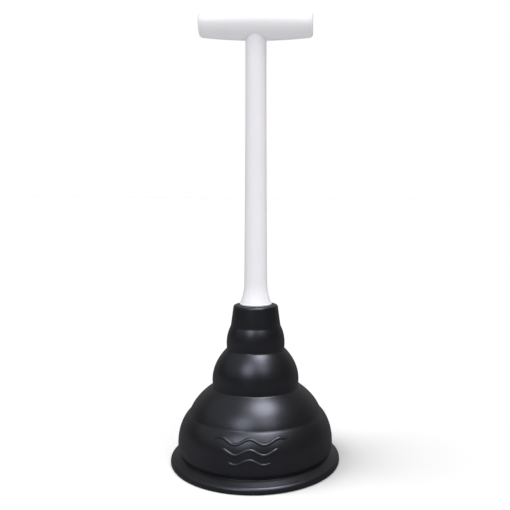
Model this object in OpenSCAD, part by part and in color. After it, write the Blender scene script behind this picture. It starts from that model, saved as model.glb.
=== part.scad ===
// Sink plunger: a stepped rubber bell on a white T-handle.
// Millimetres, +Z up. The origin is the centre of the rim, on the surface that the rim seals against.
// The grip lies along X.

/* [Rubber cup] */
// Outside diameter of the sealing rim
rim_d = 152; // [148:1:158]
// Height of the cup from the rim's face to the top of its collar
cup_h = 141.2; // [139:0.2:143]
// Thickness of the moulded rubber wall
wall = 3.4; // [2.8:0.1:4]
// Largest diameter of the lowest dome
bell_d = 138.6; // [136:0.2:140]
// Largest diameter of the shoulder above it
shoulder_d = 122.4; // [120:0.2:124]
// Largest diameter of the middle dome
dome_d = 77.4; // [75:0.2:79]
// Largest diameter of the neck bulge
neck_d = 52; // [50:0.2:53]
// Diameter of the collar at its top
collar_top_d = 39.8; // [38:0.2:42]
// Diameter of the collar at its foot
collar_foot_d = 44.4; // [43:0.2:46]
// Thickness of the web that closes the cup under the handle
web_t = 5.5; // [4.5:0.5:6.5]

/* [Handle] */
// Height of the grip's centre line above the rim's face
grip_z = 384; // [340:1:420]
// Length of the grip over its end caps
grip_l = 98; // [90:1:120]
// Diameter of the grip at its middle
grip_mid_d = 26.2; // [25.8:0.2:30]
// Diameter of the grip at its end caps
grip_end_d = 21.6; // [21:0.2:24]
// Diameter of the shaft where it enters the grip
shaft_top_d = 18.1; // [17.5:0.1:19]
// Diameter of the shaft just above its flared foot
shaft_low_d = 20.3; // [19.5:0.1:21]
// Diameter of the flange that rests on the collar
flange_d = 28.6; // [28:0.2:30]
// Diameter of the barbed spigot inside the collar
spigot_d = 24; // [23:0.2:25]

/* [Fastening] */
// Diameter of the retaining screw
screw_d = 4.8; // [4:0.2:5.4]
// Length of the retaining screw under its head
screw_l = 26; // [22:1:28]
// Outside diameter of the retaining washer
washer_d = 26; // [22:1:30]
// Thickness of the retaining washer
washer_t = 1.5; // [1:0.1:2]

/* [Hidden] */
$fn = 96;

arc_steps = 9;         // straight stretches along each round part of an outline
gap = 0.25;            // clearance between the cup and everything on the handle
bond = 0.05;           // clearance of the joints that are glued or pressed together
over = 1;              // how far a cut runs past the face that it starts from

// The cup's domes, from the top down. Each is part of an ellipse: its largest diameter, the height of
// that, the radius of the ellipse's centre, and the height of the crease where the next one starts.
domes = [
    [neck_d, cup_h - 34.2, -11, cup_h - 39.2],
    [dome_d, cup_h - 67.2, -44, cup_h - 72.8],
    [shoulder_d, cup_h - 107.2, -22, cup_h - 95.6],
    [bell_d, 18.4, 48, 15]
];
collar_foot_z = cup_h - 18.7;
collar_edge = 2;       // rounding of the collar's top edge
collar_draft = 8;      // slope of the collar's side, in degrees

// The rim: the lowest dome tucks in under itself, and a flange stands out from it.
tuck_r = 10;           // radius of the tuck
tuck_turn = 40;        // how far the tuck turns in, in degrees
shelf_slope = 20;      // slope of the flange's top, in degrees
shelf_z = 5.9;         // height of the flange's edge
shelf_edge = 3.4;      // rounding of the flange's upper edge
foot_edge = 1.6;       // rounding of its lower edge

// The web, and the collar's socket above it.
web_z = cup_h - 29.7;
spigot_z = web_z + web_t + gap;
socket_r = spigot_d / 2 + gap;
socket_lead = 0.6;     // chamfer at the socket's mouth
barb_h = 0.9;
barb_l = 3;            // length of a barb's slope
barb_back = 0.6;       // length of a barb's steep side
barb_pitch = 6;
barbs = 3;

// The shaft.
flange_t = 1.6;
flange_edge = 0.4;     // bevel of the flange's edge
flange_z = cup_h + gap;
flare_h = 18.4;
flare_power = 2;       // how suddenly the foot flares out
flare_r = flange_d / 2 - 0.4;
swell_power = 1.8;     // how suddenly the shaft widens towards the foot
shaft_wall = 2.8;
shaft_bore_r = shaft_top_d / 2 - shaft_wall;
shaft_edge = 1;        // chamfer at both of the shaft's ends
plug_r = shaft_bore_r + 2.4;
plug_h = 24;
plug_taper = 3;        // length of the bore's cone above the plug
grip_bottom_z = grip_z - grip_mid_d / 2;
bore_top_z = grip_bottom_z - 4;
taper_l = 12;          // how far below the grip the shaft starts to widen
socket_top_z = grip_z + 3;
snap_z = socket_top_z - 5;
snap_h = 0.5;          // height of the snap bead that holds the shaft in the grip
snap_l = 1.5;          // length of each side of the snap bead

// The grip.
cap_t = 3.5;           // length of each cap outside the bar
cap_edge = 3.4;        // rounding of each cap's edge
cap_plug_l = 9;
cap_wall = 2;
cap_lead = 0.6;        // chamfer at the end of a cap's plug
hub_l = 26;            // length of the solid middle of the bar, which holds the shaft
bar_wall = 2.6;
bar_bore_r = grip_end_d / 2 - bar_wall;
bar_half = grip_l / 2 - cap_t;
bar_steps = 8;         // straight stretches along each half of the barrel

// The plug in the shaft's foot.
plug_disc_t = 3;
plug_wall = 1.6;
boss_wall = 2.2;
rib_drop = 2;          // how far the ribs stop below the plug's top

// The washer and the screw under the web.
head_z = web_z - gap - washer_t;
head_r = screw_d;
head_h = 3.2;
head_edge = 1.8;       // rounding of the screw head
screw_tip = 3;
tip_r = 0.4;
recess_l = 5.2;
recess_w = 1.1;
recess_h = 1.8;

// Points from angle a0 to a1 on an ellipse about [cr, cz] with half-axes ra and rb.
function arc(cr, cz, ra, rb, a0, a1, steps = arc_steps) =
    [for (i = [0 : steps]) let (a = a0 + (a1 - a0) * i / steps) [cr + ra * cos(a), cz + rb * sin(a)]];

// Points where a radius grows from r0 to r1 as the height falls from z0 to z1, faster and faster.
function swell(r0, r1, z0, z1, power) =
    [for (i = [0 : arc_steps]) let (t = i / arc_steps)
        [r0 + (r1 - r0) * pow(t, power), z0 + (z1 - z0) * t]];

function last(points) = points[len(points) - 1];
function reversed(points) = [for (i = [len(points) - 1 : -1 : 0]) points[i]];

// One dome's outline, from the point where it starts down to its crease.
function dome(d, start) =
    let (ra = d[0] / 2 - d[2],
         rb = (start[1] - d[1]) / sin(acos((start[0] - d[2]) / ra)))
    arc(d[2], d[1], ra, rb, asin((start[1] - d[1]) / rb), asin((d[3] - d[1]) / rb));

// The outline of dome i and of all below it.
function domes_from(i, start) =
    i == len(domes) ? [] :
    let (points = dome(domes[i], start)) concat(points, domes_from(i + 1, last(points)));

// The spigot's barbs, grown by clear for the grooves that they sit in.
function barb_points(clear) =
    [for (i = [0 : barbs - 1]) let (z = spigot_z + barb_l - 0.5 + i * barb_pitch)
        each [[spigot_d / 2 + clear, z],
              [spigot_d / 2 + barb_h + clear, z + barb_l],
              [spigot_d / 2 + clear, z + barb_l + barb_back]]];

// Radius of the grip at a distance x from its middle.
function grip_r(x) = grip_mid_d / 2 - (grip_mid_d - grip_end_d) / 2 * pow(x / bar_half, 2);

module revolve(points) {
    rotate_extrude() polygon(points);
}

// A turned piece along the grip, from an outline of [distance from the middle, radius].
module revolve_x(points) {
    translate([0, 0, grip_z]) rotate([0, 90, 0]) revolve([for (p = points) [p[1], p[0]]]);
}

module cup() {
    domed = domes_from(0, [collar_foot_d / 2, collar_foot_z]);
    foot = last(domed);
    skin = concat(
        arc(collar_top_d / 2 - collar_edge, cup_h - collar_edge, collar_edge, collar_edge,
            90, collar_draft, 4),
        domed,
        arc(foot[0] - tuck_r, foot[1], tuck_r, tuck_r, 0, -tuck_turn, 5));
    rim = concat(
        arc(rim_d / 2 - shelf_edge, shelf_z - shelf_edge, shelf_edge, shelf_edge,
            90 - shelf_slope, 0, 4),
        arc(rim_d / 2 - foot_edge, foot_edge, foot_edge, foot_edge, 0, -90, 4));
    socket = concat(
        [[0, web_z + web_t], [socket_r, web_z + web_t]],
        barb_points(gap),
        [[socket_r, cup_h - socket_lead], [socket_r + socket_lead, cup_h],
         [socket_r + socket_lead, cup_h + over], [0, cup_h + over]]);
    color("#1b1b1d") rotate_extrude() difference() {
        polygon(concat([[0, cup_h]], skin, rim, [[0, 0]]));
        intersection() {
            offset(delta = -wall)
                polygon(concat([[-2 * wall, cup_h]], skin,
                               [[last(skin)[0], -2 * wall], [-2 * wall, -2 * wall]]));
            translate([0, -over]) square([rim_d / 2, web_z + over]);
        }
        square([screw_d / 2 + gap, cup_h]);
        polygon(socket);
    }
}

module shaft() {
    flange_top = flange_z + flange_t;
    flare_top = flange_top + flare_h;
    color("#f2f2f4") revolve(concat(
        [[0, socket_top_z - bond], [shaft_top_d / 2 - shaft_edge, socket_top_z - bond],
         [shaft_top_d / 2, socket_top_z - shaft_edge - bond],
         [shaft_top_d / 2, snap_z + snap_l], [shaft_top_d / 2 + snap_h, snap_z],
         [shaft_top_d / 2, snap_z - snap_l]],
        swell(shaft_top_d / 2, shaft_low_d / 2, grip_bottom_z - taper_l, flare_top, swell_power),
        swell(shaft_low_d / 2, flare_r, flare_top, flange_top, flare_power),
        [[flange_d / 2, flange_top - flange_edge],
         [flange_d / 2, flange_z + flange_edge], [flange_d / 2 - flange_edge, flange_z],
         [spigot_d / 2, flange_z]],
        reversed(barb_points(0)),
        [[spigot_d / 2, spigot_z + shaft_edge], [spigot_d / 2 - shaft_edge, spigot_z],
         [plug_r, spigot_z], [plug_r, spigot_z + plug_h],
         [shaft_bore_r, spigot_z + plug_h + plug_taper],
         [shaft_bore_r, bore_top_z], [0, bore_top_z + shaft_bore_r]]
    ));
}

module grip_bar() {
    barrel = [for (i = [-bar_steps : bar_steps]) let (x = bar_half * i / bar_steps) [x, grip_r(x)]];
    bore_r = shaft_top_d / 2 + bond;
    color("#f2f2f4") difference() {
        revolve_x(concat([[-bar_half, 0]], barrel, [[bar_half, 0]]));
        for (side = [-1, 1])
            revolve_x([[side * hub_l / 2, 0], [side * hub_l / 2, bar_bore_r],
                       [side * (bar_half + over), bar_bore_r], [side * (bar_half + over), 0]]);
        revolve([[0, grip_bottom_z - over], [bore_r, grip_bottom_z - over],
                 [bore_r, snap_z - snap_l], [bore_r + snap_h, snap_z], [bore_r, snap_z + snap_l],
                 [bore_r, socket_top_z], [0, socket_top_z]]);
    }
}

// An end cap of the grip: a rounded disc on a hollow plug. side is -1 for the left, 1 for the right.
module grip_cap(side) {
    face = concat([[bar_half + bond, grip_end_d / 2]],
                  arc(bar_half + cap_t - cap_edge, grip_end_d / 2 - cap_edge, cap_edge, cap_edge, 90, 0),
                  [[bar_half + cap_t, 0]]);
    plug_end = bar_half - cap_plug_l;
    fit_r = bar_bore_r - bond;
    plug = [[bar_half, 0], [bar_half, fit_r - cap_wall], [plug_end, fit_r - cap_wall],
            [plug_end, fit_r - cap_lead], [plug_end + cap_lead, fit_r], [bar_half + bond, fit_r]];
    color("#f2f2f4") revolve_x([for (p = concat(face, plug)) [side * p[0], p[1]]]);
}

// The plug that closes the shaft's open foot: a disc, an outer ring, a screw boss and four ribs.
module foot_plug() {
    height = plug_h - bond;
    outer_r = plug_r - bond;
    color("#d9dadc") translate([0, 0, spigot_z]) difference() {
        union() {
            cylinder(h = plug_disc_t, r = outer_r);
            difference() {
                cylinder(h = height, r = outer_r);
                translate([0, 0, plug_disc_t]) cylinder(h = height, r = outer_r - plug_wall);
            }
            cylinder(h = height, r = screw_d / 2 + boss_wall);
            for (turn = [0, 90])
                rotate([0, 0, turn]) translate([-outer_r + plug_wall / 2, -plug_wall / 2, 0])
                    cube([2 * outer_r - plug_wall, plug_wall, height - rib_drop]);
        }
        translate([0, 0, -over]) cylinder(h = height + 2 * over, r = screw_d / 2 + bond);
    }
}

module retaining_washer() {
    color("#b9bcc0") translate([0, 0, head_z]) difference() {
        cylinder(h = washer_t, r = washer_d / 2);
        translate([0, 0, -over]) cylinder(h = washer_t + 2 * over, r = screw_d / 2 + gap);
    }
}

// A pan-head screw with a cross recess, driven up through the washer and the web.
module retaining_screw() {
    head_bottom_z = head_z - head_h;
    color("#c9ccd0") difference() {
        revolve(concat(
            [[0, head_bottom_z]],
            arc(head_r - head_edge, head_bottom_z + head_edge, head_edge, head_edge, -90, 0),
            [[head_r, head_z], [screw_d / 2, head_z],
             [screw_d / 2, head_z + screw_l - screw_tip],
             [tip_r, head_z + screw_l], [0, head_z + screw_l]]));
        for (turn = [0, 90])
            translate([0, 0, head_bottom_z]) rotate([0, 0, turn])
                cube([recess_l, recess_w, 2 * recess_h], center = true);
    }
}

cup();
shaft();
grip_bar();
grip_cap(-1);  // grip_cap_left
grip_cap(1);  // grip_cap_right
foot_plug();
retaining_washer();
retaining_screw();
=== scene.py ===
import math

import bpy
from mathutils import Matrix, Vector


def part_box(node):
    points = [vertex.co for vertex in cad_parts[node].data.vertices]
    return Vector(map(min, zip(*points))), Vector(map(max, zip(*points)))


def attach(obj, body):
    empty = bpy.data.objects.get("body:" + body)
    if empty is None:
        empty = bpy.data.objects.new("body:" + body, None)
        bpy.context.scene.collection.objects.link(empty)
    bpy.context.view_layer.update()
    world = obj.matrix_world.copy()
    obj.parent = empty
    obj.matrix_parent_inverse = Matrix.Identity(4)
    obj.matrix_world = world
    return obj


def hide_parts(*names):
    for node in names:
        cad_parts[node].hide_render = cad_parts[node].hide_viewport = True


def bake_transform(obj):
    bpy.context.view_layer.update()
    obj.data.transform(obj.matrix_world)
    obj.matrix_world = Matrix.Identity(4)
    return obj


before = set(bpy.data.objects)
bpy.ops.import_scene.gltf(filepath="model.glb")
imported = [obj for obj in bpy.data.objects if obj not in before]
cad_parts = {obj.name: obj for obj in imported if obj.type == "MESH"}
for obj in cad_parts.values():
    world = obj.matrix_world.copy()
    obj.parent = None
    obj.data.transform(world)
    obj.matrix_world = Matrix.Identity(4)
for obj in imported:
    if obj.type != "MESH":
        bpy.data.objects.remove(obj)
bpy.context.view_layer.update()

mm = 0.001  # sizes below are in millimetres, as the CAD part's are
touching = 0.001  # vertices nearer to each other than this are joined
atCorner = 0.01  # a vertex this near to a corner is that corner
scene = bpy.context.scene


# working in edit mode

def deselect():
    if bpy.context.object and bpy.context.object.mode != "OBJECT":
        bpy.ops.object.mode_set(mode="OBJECT")
    bpy.ops.object.select_all(action="DESELECT")


def makeActive(piece):
    deselect()
    piece.select_set(True)
    bpy.context.view_layer.objects.active = piece


def editAll(piece):
    makeActive(piece)
    bpy.ops.object.mode_set(mode="EDIT")
    bpy.ops.mesh.select_all(action="SELECT")


def closeUp(piece):
    # joins what meets, and turns every face outwards
    editAll(piece)
    bpy.ops.mesh.remove_doubles(threshold=touching * mm)
    bpy.ops.mesh.normals_make_consistent(inside=False)
    bpy.ops.object.mode_set(mode="OBJECT")


def smooth(piece, angle=35):
    makeActive(piece)
    bpy.ops.object.shade_smooth_by_angle(angle=math.radians(angle))


def drawOutline(name, points):
    # a chain of edges in the XZ plane, drawn by extruding one vertex from point to point
    deselect()
    bpy.ops.mesh.primitive_plane_add(size=mm)
    piece = bpy.context.object
    piece.name = name
    piece.data.name = name
    bpy.ops.object.mode_set(mode="EDIT")
    bpy.ops.mesh.merge(type="CENTER")
    here = Vector((0, 0, 0))
    for i, (across, up) in enumerate(points):
        there = Vector((across, 0, up)) * mm
        if i == 0:
            bpy.ops.transform.translate(value=there - here)
        else:
            bpy.ops.mesh.extrude_region_move(TRANSFORM_OT_translate={"value": there - here})
        here = there
    bpy.ops.object.mode_set(mode="OBJECT")
    closeUp(piece)
    return piece


def roundCorners(piece, corners, radius, segments=4):
    # rounds the outline at these of its corners
    places = [Vector((across, 0, up)) * mm for across, up in corners]
    editAll(piece)
    bpy.ops.mesh.select_all(action="DESELECT")
    bpy.ops.object.mode_set(mode="OBJECT")
    for vert in piece.data.vertices:
        vert.select = any((vert.co - place).length < atCorner * mm for place in places)
    bpy.ops.object.mode_set(mode="EDIT")
    bpy.ops.mesh.bevel(affect="VERTICES", offset=radius * mm, segments=segments)
    bpy.ops.object.mode_set(mode="OBJECT")


def turnOutline(piece, steps, axis=(0, 0, 1), height=0):
    # a full turn of the outline, about the shaft's axis or about a level one
    editAll(piece)
    bpy.ops.mesh.spin(steps=steps, angle=math.tau, use_auto_merge=True,
                      center=(0, 0, height * mm), axis=axis)
    closeUp(piece)


def cutWith(piece, cutter):
    cut = piece.modifiers.new("cut", "BOOLEAN")
    cut.operation = "DIFFERENCE"
    cut.solver = "EXACT"
    cut.object = cutter
    makeActive(piece)
    bpy.ops.object.modifier_apply(modifier=cut.name)
    bpy.data.objects.remove(cutter)


def arc(centre, radii, start, end, steps):
    # points on an ellipse, from one angle to another in degrees
    turns = [math.radians(start + (end - start) * i / steps) for i in range(steps + 1)]
    return [(centre[0] + radii[0] * math.cos(turn), centre[1] + radii[1] * math.sin(turn)) for turn in turns]


# sizes that the CAD frame settles

def lowest(node, axis):
    return getattr(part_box(node)[0], axis) / mm


def highest(node, axis):
    return getattr(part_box(node)[1], axis) / mm


cupTop = highest("cup", "z")
rimRadius = highest("cup", "x")
shaftFoot = lowest("shaft", "z")
shaftHead = highest("shaft", "z")
gripHeight = (lowest("grip_bar", "z") + highest("grip_bar", "z")) / 2
gripRadius = highest("grip_bar", "y")
barHalf = highest("grip_bar", "x")
capEnd = highest("grip_cap_right", "x")
washerTop = highest("retaining_washer", "z")
washerUnder = lowest("retaining_washer", "z")
washerRadius = highest("retaining_washer", "x")
screwTip = highest("retaining_screw", "z")
screwUnder = lowest("retaining_screw", "z")
headRadius = highest("retaining_screw", "x")


# the rubber cup

cup = {
    "wall": 3.4, "curveSteps": 22, "turnSteps": 224,
    "collarTop": 19.9, "collarFoot": 22.2, "collarDepth": 18.7, "collarEdge": 2, "collarDraft": 8,
    # each dome: largest radius, how far that is under the collar's top, radius of the curve's centre,
    # and how far its lower crease is under the collar's top
    "domes": [(26, 34.2, -11, 39.2), (38.7, 67.2, -44, 72.8),
              (61.2, 107.2, -22, 95.6), (69.3, 122.8, 48, 126.2)],
    # the lowest dome tucks in under itself, and a sloping shelf stands out from it
    "tuck": 10, "tuckTurn": 40, "shelfSlope": 20, "shelfTop": 5.9, "shelfRound": 3.4, "footRound": 1.6,
    "webUnder": 29.7, "webOver": 24.2, "screwHole": 2.65, "socket": 12.25, "socketLead": 0.6,
    "creaseRound": 0.7, "edgeRound": 0.5, "edgeSteps": 6, "shelfSteps": 8, "tuckSteps": 12,
    # where the inside meets the web: how far below it the curve ends, and how far it still draws in
    "ceilingGap": 0.5, "ceilingIn": 0.1,
}
webUnder = cupTop - cup["webUnder"]


def domeCurve(dome, start):
    wide, wideDepth, centre, footDepth = dome
    wideZ, foot = cupTop - wideDepth, cupTop - footDepth
    across = wide - centre
    up = (start[1] - wideZ) / math.sin(math.acos((start[0] - centre) / across))
    first, last = (math.degrees(math.asin((z - wideZ) / up)) for z in (start[1], foot))
    return arc((centre, wideZ), (across, up), first, last, cup["curveSteps"])


def cupOutside():
    # the outside from the collar's top edge to the end of the bell's tuck, and its creases
    edge = cup["collarEdge"]
    centre = (cup["collarTop"] - edge, cupTop - edge)
    points = arc(centre, (edge, edge), 90, cup["collarDraft"], cup["edgeSteps"])
    start = (cup["collarFoot"], cupTop - cup["collarDepth"])
    points.append(start)
    creases = [start]
    for dome in cup["domes"]:
        curve = domeCurve(dome, start)
        points += curve[1:]
        start = curve[-1]
        creases.append(start)
    tuck = cup["tuck"]
    points += arc((start[0] - tuck, start[1]), (tuck, tuck), 0, -cup["tuckTurn"], cup["tuckSteps"])[1:]
    creases[-1] = points[-1]
    return points, creases


def movedIn(points, wall):
    # the same curve a wall's thickness further in, without the loops that its creases would leave
    nearest = 0.985 * wall  # a point nearer to the outline than this lies in a loop
    moved = []
    for (r0, z0), (r1, z1) in zip(points, points[1:]):
        length = math.hypot(r1 - r0, z1 - z0)
        moved.append(((r0 + r1) / 2 - wall * (z0 - z1) / length, (z0 + z1) / 2 - wall * (r1 - r0) / length))
    return [(r, z) for r, z in moved
            if all(math.hypot(r - pr, z - pz) > nearest for pr, pz in points)]


def makeCup():
    outside, creases = cupOutside()
    shelf, foot, wall = cup["shelfRound"], cup["footRound"], cup["wall"]
    rim = arc((rimRadius - shelf, cup["shelfTop"] - shelf), (shelf, shelf),
              90 - cup["shelfSlope"], 0, cup["shelfSteps"])
    rim += arc((rimRadius - foot, foot), (foot, foot), 0, -90, cup["edgeSteps"])
    inRadius = outside[-1][0] - wall
    inTop = outside[-1][1] + wall * math.tan(math.radians(cup["tuckTurn"] / 2))
    inside = [p for p in movedIn(outside, wall) if p[1] < webUnder - cup["ceilingGap"]]
    ceiling = (inside[0][0] - cup["ceilingIn"], webUnder)
    hole, socket, lead = cup["screwHole"], cup["socket"], cup["socketLead"]
    points = outside + rim + [(inRadius, 0), (inRadius, inTop)]
    points += inside[::-1] + [ceiling, (hole, webUnder), (hole, cupTop - cup["webOver"])]
    points += [(socket, cupTop - cup["webOver"]), (socket, cupTop - lead), (socket + lead, cupTop)]
    piece = drawOutline("cup_skin", points + points[:1])
    roundCorners(piece, creases, cup["creaseRound"])
    roundCorners(piece, [(inRadius, 0), ceiling], cup["edgeRound"], 3)
    turnOutline(piece, cup["turnSteps"])
    smooth(piece, 40)
    return piece


# three raised ripples on the front of the bell, each a round bead that is partly sunk in the rubber
ripples = {
    "length": 60, "heights": (38.5, 31, 23.5), "shares": (1, 0.8, 0.6), "wave": 2, "waves": 5,
    "radius": 1.8, "sunk": 1.3, "steps": 110, "sides": 5,
    "endPower": 16, "endLeast": 0.01,  # how late the ends round off, and what is left at the tip
}


def makeRipple(number, height, share, target):
    steps, half = ripples["steps"], ripples["length"] * share / 2
    places = [2 * i / steps - 1 for i in range(steps + 1)]
    piece = drawOutline(f"ripple_mark_{number}", [
        (along * half, height + ripples["wave"] * math.cos(along * share * ripples["waves"] * math.pi / 2))
        for along in places])
    editAll(piece)
    bpy.ops.transform.translate(value=(0, -rimRadius * mm, 0))
    bpy.ops.object.mode_set(mode="OBJECT")
    wrap = piece.modifiers.new("wrap", "SHRINKWRAP")
    wrap.target = target
    wrap.wrap_method = "PROJECT"
    wrap.use_project_y = True
    wrap.use_positive_direction = True
    wrap.use_negative_direction = False
    makeActive(piece)
    bpy.ops.object.modifier_apply(modifier=wrap.name)
    bpy.ops.object.convert(target="CURVE")
    piece = bpy.context.object
    piece.data.bevel_depth = ripples["radius"] * mm
    piece.data.bevel_resolution = ripples["sides"]
    piece.data.use_fill_caps = True
    for point in piece.data.splines[0].points:
        along = point.co.x / (half * mm)
        point.radius = math.sqrt(max(ripples["endLeast"], 1 - abs(along) ** ripples["endPower"]))
    bpy.ops.object.convert(target="MESH")
    piece = bpy.context.object
    editAll(piece)
    bpy.ops.transform.translate(value=(0, ripples["sunk"] * mm, 0))
    closeUp(piece)
    smooth(piece, 60)
    return piece


cupSkin = makeCup()
marks = [makeRipple(i + 1, height, share, cupSkin)
         for i, (height, share) in enumerate(zip(ripples["heights"], ripples["shares"]))]
print("cup made:", len(cupSkin.data.polygons), "faces")


# the handle

shaft = {
    "top": 9.05, "low": 10.15, "swellPower": 1.8, "flareHeight": 18.4, "flarePower": 2, "flareFoot": 13.85,
    "curveSteps": 20, "flange": 14.3, "flangeThick": 1.6, "flangeGap": 0.25, "flangeRound": 0.4,
    "taperDrop": 12, "edge": 1, "snapDrop": 5, "snapRise": 0.5, "snapLength": 1.5, "snapSteps": 5,
    "spigot": 12, "barbRise": 0.9, "barbLength": 3, "barbBack": 0.6, "barbPitch": 6, "barbs": 3,
    "barbStart": 2.5,
    "bore": 6.25, "plugBore": 8.65, "plugLength": 24, "plugTaper": 3, "boreEnd": 4, "turnSteps": 128,
}
grip = {
    "end": 10.8, "bore": 8.2, "hub": 13, "barrelSteps": 48, "turnSteps": 128,
    "fit": 0.05, "boreRun": 5, "seam": 0.15,
    "capRound": 3.4, "capSteps": 12, "capPlug": 9, "capWall": 2, "capLead": 0.6,
}
gripUnder = gripHeight - gripRadius


def snapCurve(radius):
    # the bead that snaps the shaft into the grip, from its lower edge to its upper one
    middle = shaftHead - shaft["snapDrop"] + grip["fit"]
    rise, length, steps = shaft["snapRise"], shaft["snapLength"], shaft["snapSteps"]
    return [(radius + rise * math.cos(turn) ** 2, middle + length * turn * 2 / math.pi)
            for turn in (math.pi / 2 * i / steps for i in range(-steps, steps + 1))]


def swell(radii, heights, power):
    # a radius that grows faster and faster on the way down
    shares = [i / shaft["curveSteps"] for i in range(shaft["curveSteps"] + 1)]
    return [(radii[0] + (radii[1] - radii[0]) * share ** power,
             heights[0] + (heights[1] - heights[0]) * share) for share in shares]


def makeShaft():
    top, low, foot = shaft["top"], shaft["low"], shaft["flareFoot"]
    flangeUnder = cupTop + shaft["flangeGap"]
    flangeTop = flangeUnder + shaft["flangeThick"]
    flareTop = flangeTop + shaft["flareHeight"]
    side = swell((top, low), (gripUnder - shaft["taperDrop"], flareTop), shaft["swellPower"])
    side += swell((low, foot), (flareTop, flangeTop), shaft["flarePower"])[1:]
    barbs = []
    for i in range(shaft["barbs"]):
        barbZ = shaftFoot + shaft["barbStart"] + i * shaft["barbPitch"]
        tip = barbZ + shaft["barbLength"]
        barbs += [(shaft["spigot"], barbZ), (shaft["spigot"] + shaft["barbRise"], tip),
                  (shaft["spigot"], tip + shaft["barbBack"])]
    plugTop = shaftFoot + shaft["plugLength"]
    boreTop = gripUnder - shaft["boreEnd"]
    flangeEdge = [(shaft["flange"], flangeTop), (shaft["flange"], flangeUnder)]
    points = [(0, shaftHead), (top - shaft["edge"], shaftHead), (top, shaftHead - shaft["edge"])]
    points += snapCurve(top)[::-1] + side + flangeEdge
    points += [(shaft["spigot"], flangeUnder)] + barbs[::-1]
    points += [(shaft["spigot"], shaftFoot + shaft["edge"]), (shaft["spigot"] - shaft["edge"], shaftFoot)]
    points += [(shaft["plugBore"], shaftFoot), (shaft["plugBore"], plugTop)]
    points += [(shaft["bore"], plugTop + shaft["plugTaper"]), (shaft["bore"], boreTop),
               (0, boreTop + shaft["bore"])]
    piece = drawOutline("shaft_skin", points)
    roundCorners(piece, flangeEdge, shaft["flangeRound"])
    turnOutline(piece, shaft["turnSteps"])
    smooth(piece)
    return piece


def gripCurve(side):
    # the barrel's outline, from the middle to one end
    points = []
    for i in range(grip["barrelSteps"] // 2 + 1):
        share = i / (grip["barrelSteps"] // 2)
        radius = gripRadius - (gripRadius - grip["end"]) * share ** 2
        points.append((side * barHalf * share, gripHeight + radius))
    return points


def makeGripBar():
    hub, bore = grip["hub"], gripHeight + grip["bore"]
    ends = [gripCurve(-1)[-1], gripCurve(1)[-1]]
    points = [(-hub, gripHeight), (-hub, bore), (-barHalf, bore)] + gripCurve(-1)[::-1] + gripCurve(1)[1:]
    points += [(barHalf, bore), (hub, bore), (hub, gripHeight)]
    piece = drawOutline("grip_bar_skin", points)
    roundCorners(piece, ends, grip["seam"], 3)
    turnOutline(piece, grip["turnSteps"], (1, 0, 0), gripHeight)
    # the cutter for the shaft's bore starts in the open, under the bar
    boreRadius = shaft["top"] + grip["fit"]
    boreFoot, boreHead = gripUnder - grip["boreRun"], shaftHead + grip["fit"]
    cutter = drawOutline("shaft_bore", [(0, boreFoot), (boreRadius, boreFoot)] + snapCurve(boreRadius)
                         + [(boreRadius, boreHead), (0, boreHead)])
    turnOutline(cutter, shaft["turnSteps"])
    cutWith(piece, cutter)
    closeUp(piece)
    smooth(piece)
    return piece


def makeGripCap(side, name):
    start, bend = barHalf + grip["fit"], grip["capRound"]
    plug = gripHeight + grip["bore"] - grip["fit"]
    plugEnd = barHalf - grip["capPlug"]
    corner = (start, gripHeight + grip["end"])
    points = [(barHalf, gripHeight), (barHalf, plug - grip["capWall"]), (plugEnd, plug - grip["capWall"]),
              (plugEnd, plug - grip["capLead"]), (plugEnd + grip["capLead"], plug), (start, plug), corner]
    points += arc((capEnd - bend, gripHeight + grip["end"] - bend), (bend, bend), 90, 0, grip["capSteps"])
    points.append((capEnd, gripHeight))
    piece = drawOutline(name, [(side * x, z) for x, z in points])
    roundCorners(piece, [(side * corner[0], corner[1])], grip["seam"], 3)
    turnOutline(piece, grip["turnSteps"], (1, 0, 0), gripHeight)
    smooth(piece)
    return piece


shaftSkin = makeShaft()
gripBar = makeGripBar()
capLeft = makeGripCap(-1, "grip_cap_left_skin")
capRight = makeGripCap(1, "grip_cap_right_skin")
print("handle made")


# the fastening under the web

fastening = {
    "washerHole": 2.65, "washerRound": 0.3, "shank": 2.4, "core": 1.75,
    "headHeight": 3.2, "headRound": 1.8, "headSteps": 10,
    "neck": 4, "runOut": 0.6, "pitch": 1.8, "toothFoot": 1.1, "toothCrest": 0.15, "toothSunk": 0.1,
    "threadSteps": 32, "washerSteps": 96,
    "tip": 0.4, "tipLength": 3, "recess": 5.2, "recessWidth": 1.1, "recessDepth": 1.8, "turnSteps": 64,
}


def makeWasher():
    hole = fastening["washerHole"]
    corners = [(washerRadius, washerTop), (washerRadius, washerUnder), (hole, washerUnder), (hole, washerTop)]
    piece = drawOutline("washer_skin", corners + corners[:1])
    roundCorners(piece, corners, fastening["washerRound"], 3)
    turnOutline(piece, fastening["washerSteps"])
    smooth(piece)
    return piece


def makeThread(start, end):
    # one tooth, wound up the core, with its root just inside it
    shank, foot, crest = fastening["shank"], fastening["toothFoot"], fastening["toothCrest"]
    root = fastening["core"] - fastening["toothSunk"]
    tooth = [(root, start), (shank, start + (foot - crest) / 2), (shank, start + (foot + crest) / 2),
             (root, start + foot)]
    piece = drawOutline("thread", tooth + tooth[:1])
    wind = piece.modifiers.new("wind", "SCREW")
    wind.screw_offset = fastening["pitch"] * mm
    wind.iterations = int((end - start - foot) / fastening["pitch"])
    wind.steps = wind.render_steps = fastening["threadSteps"]
    makeActive(piece)
    bpy.ops.object.modifier_apply(modifier=wind.name)
    editAll(piece)
    bpy.ops.mesh.fill_holes(sides=len(tooth))
    closeUp(piece)
    return piece


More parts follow.
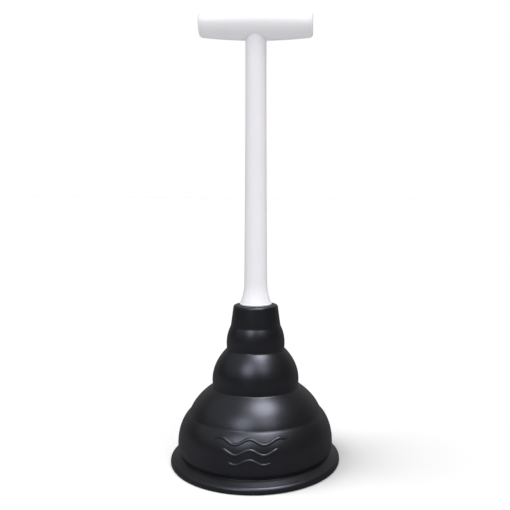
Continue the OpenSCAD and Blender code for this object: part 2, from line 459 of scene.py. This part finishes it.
def makeScrew():
    bend = fastening["headRound"]
    headTop = screwUnder + fastening["headHeight"]
    threadEnd = screwTip - fastening["tipLength"]
    points = [(0, screwUnder)]
    points += arc((headRadius - bend, screwUnder + bend), (bend, bend), -90, 0, fastening["headSteps"])
    neckEnd = headTop + fastening["neck"]
    points += [(headRadius, headTop), (fastening["shank"], headTop), (fastening["shank"], neckEnd),
               (fastening["core"], neckEnd + fastening["runOut"]), (fastening["core"], threadEnd),
               (fastening["tip"], screwTip), (0, screwTip)]
    piece = drawOutline("screw_skin", points)
    turnOutline(piece, fastening["turnSteps"])
    for turn in (0, 90):
        deselect()
        recess = Vector((fastening["recess"], fastening["recessWidth"], 2 * fastening["recessDepth"])) * mm
        bpy.ops.mesh.primitive_cube_add(size=1, location=(0, 0, screwUnder * mm), scale=recess,
                                        rotation=(0, 0, math.radians(turn)))
        cutter = bpy.context.object
        bpy.ops.object.transform_apply(location=True, rotation=True, scale=True)
        cutWith(piece, cutter)
    closeUp(piece)
    thread = makeThread(neckEnd, threadEnd)
    makeActive(piece)
    thread.select_set(True)
    bpy.ops.object.join()
    smooth(piece)
    return piece


washer = makeWasher()
screw = makeScrew()
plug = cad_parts["foot_plug"]
print("fastening made")


# shader groups

def startGroup(name, inputs, outputs):
    group = bpy.data.node_groups.new(name, "ShaderNodeTree")
    for label, value in inputs.items():
        group.interface.new_socket(label, in_out="INPUT", socket_type="NodeSocketFloat").default_value = value
    for label in outputs:
        group.interface.new_socket(label, in_out="OUTPUT", socket_type="NodeSocketFloat")
    return group, group.nodes.new("NodeGroupInput"), group.nodes.new("NodeGroupOutput")


def addNode(tree, kind, settings=None, values=None):
    node = tree.nodes.new(kind)
    for key, value in (settings or {}).items():
        setattr(node, key, value)
    for key, value in (values or {}).items():
        node.inputs[key].default_value = value
    return node


def mathNode(tree, operation, first, second=None):
    node = addNode(tree, "ShaderNodeMath", {"operation": operation})
    for socket, source in zip(node.inputs, (first, second)):
        if isinstance(source, bpy.types.NodeSocket):
            tree.links.new(source, socket)
        elif source is not None:
            socket.default_value = source
    return node.outputs[0]


def noiseNode(tree, place, scale, detail=2, roughness=0.5):
    node = addNode(tree, "ShaderNodeTexNoise", values={"Detail": detail, "Roughness": roughness})
    tree.links.new(place, node.inputs["Vector"])
    if isinstance(scale, bpy.types.NodeSocket):
        tree.links.new(scale, node.inputs["Scale"])
    else:
        node.inputs["Scale"].default_value = scale
    return node.outputs["Fac"]


def makeGrainGroup():
    # fine grain and broad unevenness of a moulded surface
    group, given, made = startGroup("moulded_grain", {"Fine": 1800.0, "Broad": 60.0, "Share": 0.4},
                                    ["Height", "Uneven"])
    place = addNode(group, "ShaderNodeTexCoord").outputs["Object"]
    fine = noiseNode(group, place, given.outputs["Fine"], 3, 0.6)
    broad = noiseNode(group, place, given.outputs["Broad"], 2, 0.5)
    fineShare = mathNode(group, "MULTIPLY", fine, given.outputs["Share"])
    group.links.new(mathNode(group, "ADD", fineShare, broad), made.inputs["Height"])
    group.links.new(broad, made.inputs["Uneven"])
    return group


def makeTurnedGroup():
    # faint rings round the shaft's axis, as a turned mould leaves them
    group, given, made = startGroup("turned_rings", {"Scale": 500.0}, ["Rings"])
    place = addNode(group, "ShaderNodeTexCoord").outputs["Object"]
    split = addNode(group, "ShaderNodeSeparateXYZ")
    group.links.new(place, split.inputs[0])
    squares = [mathNode(group, "MULTIPLY", split.outputs[i], split.outputs[i]) for i in (0, 1)]
    radius = mathNode(group, "SQRT", mathNode(group, "ADD", *squares))
    joined = addNode(group, "ShaderNodeCombineXYZ")
    group.links.new(radius, joined.inputs["X"])
    group.links.new(split.outputs["Z"], joined.inputs["Z"])
    group.links.new(noiseNode(group, joined.outputs[0], given.outputs["Scale"], 3), made.inputs["Rings"])
    return group


def makeWearGroup():
    # edges that rub against things, and hollows that hold dust
    group, given, made = startGroup("edge_wear", {"Patches": 90.0}, ["Edge", "Hollow"])
    place = addNode(group, "ShaderNodeTexCoord").outputs["Object"]
    point = addNode(group, "ShaderNodeNewGeometry").outputs["Pointiness"]
    patches = noiseNode(group, place, given.outputs["Patches"], 4, 0.6)
    for low, high, label in ((0.515, 0.6, "Edge"), (0.485, 0.42, "Hollow")):
        span = addNode(group, "ShaderNodeMapRange", values={"From Min": low, "From Max": high})
        group.links.new(point, span.inputs["Value"])
        group.links.new(mathNode(group, "MULTIPLY", span.outputs[0], patches), made.inputs[label])
    return group


def makeScratchGroup():
    # fine scratches along the shaft and rubbed patches
    group, given, made = startGroup("handling", {"Scratches": 700.0, "Rubs": 45.0}, ["Scratch", "Rub"])
    place = addNode(group, "ShaderNodeTexCoord").outputs["Object"]
    stretch = addNode(group, "ShaderNodeMapping", values={"Scale": (1, 1, 0.06), "Rotation": (0.05, 0.08, 0)})
    group.links.new(place, stretch.inputs["Vector"])
    lines = noiseNode(group, stretch.outputs[0], given.outputs["Scratches"], 2, 0.4)
    span = addNode(group, "ShaderNodeMapRange", values={"From Min": 0.62, "From Max": 0.72})
    group.links.new(lines, span.inputs["Value"])
    group.links.new(span.outputs[0], made.inputs["Scratch"])
    group.links.new(noiseNode(group, place, given.outputs["Rubs"], 3, 0.6), made.inputs["Rub"])
    return group


def makeSeamGroup():
    # the fine line where the halves of the mould meet, in the grip's plane
    group, given, made = startGroup("parting_line", {"Width": 0.00018}, ["Line"])
    place = addNode(group, "ShaderNodeTexCoord").outputs["Object"]
    split = addNode(group, "ShaderNodeSeparateXYZ")
    group.links.new(place, split.inputs[0])
    off = mathNode(group, "ABSOLUTE", split.outputs["Y"])
    span = addNode(group, "ShaderNodeMapRange", values={"From Min": 0, "To Min": 1, "To Max": 0})
    group.links.new(off, span.inputs["Value"])
    group.links.new(given.outputs["Width"], span.inputs["From Max"])
    group.links.new(span.outputs[0], made.inputs["Line"])
    return group


grainGroup = makeGrainGroup()
turnedGroup = makeTurnedGroup()
wearGroup = makeWearGroup()
scratchGroup = makeScratchGroup()
seamGroup = makeSeamGroup()


# materials

def startMaterial(name, values):
    material = bpy.data.materials.new(name)
    material.use_nodes = True
    shader = material.node_tree.nodes["Principled BSDF"]
    for key, value in values.items():
        shader.inputs[key].default_value = value
    return material, material.node_tree, shader


def useGroup(tree, group, values=None):
    node = addNode(tree, "ShaderNodeGroup", {"node_tree": group})
    for key, value in (values or {}).items():
        node.inputs[key].default_value = value
    return node.outputs


def ramp(tree, source, low, high):
    # source runs from 0 to 1
    span = addNode(tree, "ShaderNodeMapRange", values={"To Min": low, "To Max": high})
    tree.links.new(source, span.inputs["Value"])
    return span.outputs[0]


def tint(tree, mask, first, second):
    # a mix of two colours, or sockets that give one: the second where the mask is 1
    mix = addNode(tree, "ShaderNodeMix", {"data_type": "RGBA"})
    tree.links.new(mask, mix.inputs["Factor"])
    for label, colour in (("A", first), ("B", second)):
        if isinstance(colour, bpy.types.NodeSocket):
            tree.links.new(colour, mix.inputs[label])
        else:
            mix.inputs[label].default_value = (*colour, 1)
    return mix.outputs["Result"]


def bump(tree, shader, layers):
    # layers are (height socket, depth in millimetres), from the first under the others
    under = None
    for height, depth in layers:
        node = addNode(tree, "ShaderNodeBump", values={"Strength": 1, "Distance": depth * mm})
        tree.links.new(height, node.inputs["Height"])
        if under:
            tree.links.new(under, node.inputs["Normal"])
        under = node.outputs["Normal"]
    tree.links.new(under, shader.inputs["Normal"])


def makeRubber():
    material, tree, shader = startMaterial("black_rubber", {
        "Specular IOR Level": 0.75, "Specular Tint": (0.8, 0.83, 1, 1)})
    grain = useGroup(tree, grainGroup, {"Fine": 1500, "Broad": 55, "Share": 0.35})
    wear = useGroup(tree, wearGroup)
    rings = useGroup(tree, turnedGroup, {"Scale": 420})
    colour = tint(tree, grain["Uneven"], (0.0065, 0.0065, 0.007), (0.0095, 0.0095, 0.01))
    colour = tint(tree, ramp(tree, wear["Edge"], 0, 0.5), colour, (0.03, 0.03, 0.033))
    colour = tint(tree, ramp(tree, wear["Hollow"], 0, 0.35), colour, (0.03, 0.029, 0.028))
    tree.links.new(colour, shader.inputs["Base Color"])
    rough = mathNode(tree, "ADD", ramp(tree, grain["Uneven"], 0.29, 0.38),
                     ramp(tree, rings["Rings"], -0.03, 0.03))
    tree.links.new(rough, shader.inputs["Roughness"])
    bump(tree, shader, [(grain["Height"], 0.05), (rings["Rings"], 0.02)])
    return material


def makeWhitePlastic():
    material, tree, shader = startMaterial("white_plastic", {
        "Specular IOR Level": 0.45, "Subsurface Weight": 0.12, "Subsurface Scale": 0.0015})
    grain = useGroup(tree, grainGroup, {"Fine": 1100, "Broad": 70, "Share": 0.3})
    handling = useGroup(tree, scratchGroup)
    seam = useGroup(tree, seamGroup)
    colour = tint(tree, grain["Uneven"], (0.84, 0.83, 0.86), (0.865, 0.857, 0.885))
    colour = tint(tree, ramp(tree, handling["Rub"], 0, 0.18), colour, (0.78, 0.775, 0.765))
    tree.links.new(colour, shader.inputs["Base Color"])
    rough = mathNode(tree, "ADD", ramp(tree, handling["Rub"], 0.26, 0.44),
                     ramp(tree, handling["Scratch"], 0, 0.12))
    tree.links.new(rough, shader.inputs["Roughness"])
    bump(tree, shader, [(grain["Height"], 0.03), (handling["Scratch"], -0.004), (seam["Line"], 0.06)])
    return material


def makePlugPlastic():
    material, tree, shader = startMaterial("grey_plastic", {"Specular IOR Level": 0.4})
    grain = useGroup(tree, grainGroup, {"Fine": 1600, "Broad": 120, "Share": 0.5})
    colour = tint(tree, grain["Uneven"], (0.62, 0.63, 0.64), (0.7, 0.71, 0.72))
    tree.links.new(colour, shader.inputs["Base Color"])
    tree.links.new(ramp(tree, grain["Uneven"], 0.45, 0.6), shader.inputs["Roughness"])
    bump(tree, shader, [(grain["Height"], 0.04)])
    return material


def makeZinc():
    material, tree, shader = startMaterial("zinc_plated_steel", {"Metallic": 1})
    grain = useGroup(tree, grainGroup, {"Fine": 2600, "Broad": 260, "Share": 0.5})
    rings = useGroup(tree, turnedGroup, {"Scale": 1400})
    wear = useGroup(tree, wearGroup, {"Patches": 400})
    colour = tint(tree, grain["Uneven"], (0.56, 0.58, 0.62), (0.68, 0.67, 0.64))
    colour = tint(tree, ramp(tree, wear["Hollow"], 0, 0.6), colour, (0.3, 0.28, 0.25))
    tree.links.new(colour, shader.inputs["Base Color"])
    rough = mathNode(tree, "ADD", ramp(tree, rings["Rings"], 0.2, 0.36), ramp(tree, grain["Uneven"], 0, 0.12))
    tree.links.new(rough, shader.inputs["Roughness"])
    bump(tree, shader, [(grain["Height"], 0.015), (rings["Rings"], 0.01)])
    return material


def paint(pieces, material):
    for piece in pieces:
        piece.data.materials.clear()
        piece.data.materials.append(material)


paint([cupSkin, *marks], makeRubber())
paint([shaftSkin, gripBar, capLeft, capRight], makeWhitePlastic())
paint([plug], makePlugPlastic())
paint([washer, screw], makeZinc())
print("materials made")


# what rides on what

for piece in [cupSkin, *marks]:
    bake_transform(piece)
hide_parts("cup")
for piece, node in ((shaftSkin, "shaft"), (gripBar, "grip_bar"), (capLeft, "grip_cap_left"),
                    (capRight, "grip_cap_right"), (washer, "retaining_washer"), (screw, "retaining_screw")):
    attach(piece, "handle")
    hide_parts(node)


# camera, light and floor

view = {
    "lens": 45.81, "shiftX": -0.0677, "place": (43.6, -571.9, 238.2),
    "pitch": 5.23, "roll": -0.33, "turn": 1.4,
}
studio = {
    # how bright the room and the floor are to the camera, to matt surfaces and in reflections
    "backdrop": (1, 1, 1), "room": (0.38, 0.38, 0.39), "roomShine": (0.036, 0.036, 0.038),
    "backShine": (0.25, 0.25, 0.255), "backFrom": 0.3, "backTo": 0.9,
    "floor": (0.49, 0.49, 0.49), "floorMatt": (0.345, 0.345, 0.345), "floorShine": (0.058, 0.058, 0.06),
    "floorSize": 400000, "floorDrop": 0.1,  # it lies just under the rim, so that they don't share a plane
    # each light: turn from the front towards the right, height above level, and spread, all in degrees,
    # then its strength on a surface that faces it, and its colour
    "key": (50, 75, 28, 2.05, (1, 0.99, 0.98)),
    "right": (32, 44, 26, 0.36, (0.98, 0.98, 1)),
    "left": (-21, 41, 27, 0.74, (0.95, 0.96, 1)),
    "front": (10, 60, 40, 0.42, (0.97, 0.98, 1)),
    "side": (-75, 50, 70, 0.3, (1, 1, 1)),
    "shade": (-85, 48, 40, 3.3, (1, 1, 1)),  # this one falls on the floor alone
}


def makeCamera():
    data = bpy.data.cameras.new("view_camera")
    data.lens = view["lens"]
    data.sensor_width = 36
    data.shift_x = view["shiftX"]
    data.clip_start = 0.01
    data.clip_end = 50
    camera = bpy.data.objects.new("view_camera", data)
    scene.collection.objects.link(camera)
    camera.location = Vector(view["place"]) * mm
    angles = (90 - view["pitch"], view["roll"], view["turn"])
    camera.rotation_euler = [math.radians(angle) for angle in angles]
    scene.camera = camera


def makeWorld():
    # a light grey room with a white backdrop at its back, which shows in reflections too
    world = bpy.data.worlds.new("studio")
    world.use_nodes = True
    tree = world.node_tree
    split = addNode(tree, "ShaderNodeSeparateXYZ")
    tree.links.new(addNode(tree, "ShaderNodeTexCoord").outputs["Generated"], split.inputs[0])
    back = addNode(tree, "ShaderNodeMapRange",
                   values={"From Min": studio["backFrom"], "From Max": studio["backTo"]})
    tree.links.new(split.outputs["Y"], back.inputs["Value"])
    path = addNode(tree, "ShaderNodeLightPath")
    shine = tint(tree, back.outputs[0], studio["roomShine"], studio["backShine"])
    colour = tint(tree, path.outputs["Is Glossy Ray"], studio["room"], shine)
    colour = tint(tree, path.outputs["Is Camera Ray"], colour, studio["backdrop"])
    tree.links.new(colour, tree.nodes["Background"].inputs["Color"])
    scene.world = world


def addLight(name):
    turn, height, spread, strength, colour = studio[name]
    light = bpy.data.objects.new(name + "_light", bpy.data.lights.new(name + "_light", "SUN"))
    light.data.angle = math.radians(spread)
    light.data.energy = strength
    light.data.color = colour
    light.rotation_euler = (math.radians(90 - height), 0, math.radians(turn))
    scene.collection.objects.link(light)
    return light


def makeFloor():
    deselect()
    bpy.ops.mesh.primitive_plane_add(size=studio["floorSize"] * mm,
                                     location=(0, 0, -studio["floorDrop"] * mm))
    floor = bpy.context.object
    floor.name = "floor"
    material, tree, shader = startMaterial("floor_white", {"Roughness": 0.7, "Specular IOR Level": 0.2})
    path = addNode(tree, "ShaderNodeLightPath")
    colour = tint(tree, path.outputs["Is Glossy Ray"], studio["floorMatt"], studio["floorShine"])
    colour = tint(tree, path.outputs["Is Camera Ray"], colour, studio["floor"])
    tree.links.new(colour, shader.inputs["Base Color"])
    floor.data.materials.append(material)
    return floor


makeCamera()
makeWorld()
for name in ("key", "right", "left", "front", "side"):
    addLight(name)
floorOnly = bpy.data.collections.new("floor_only")
floorOnly.objects.link(makeFloor())
addLight("shade").light_linking.receiver_collection = floorOnly
scene.view_settings.view_transform = "Standard"
print("studio made")
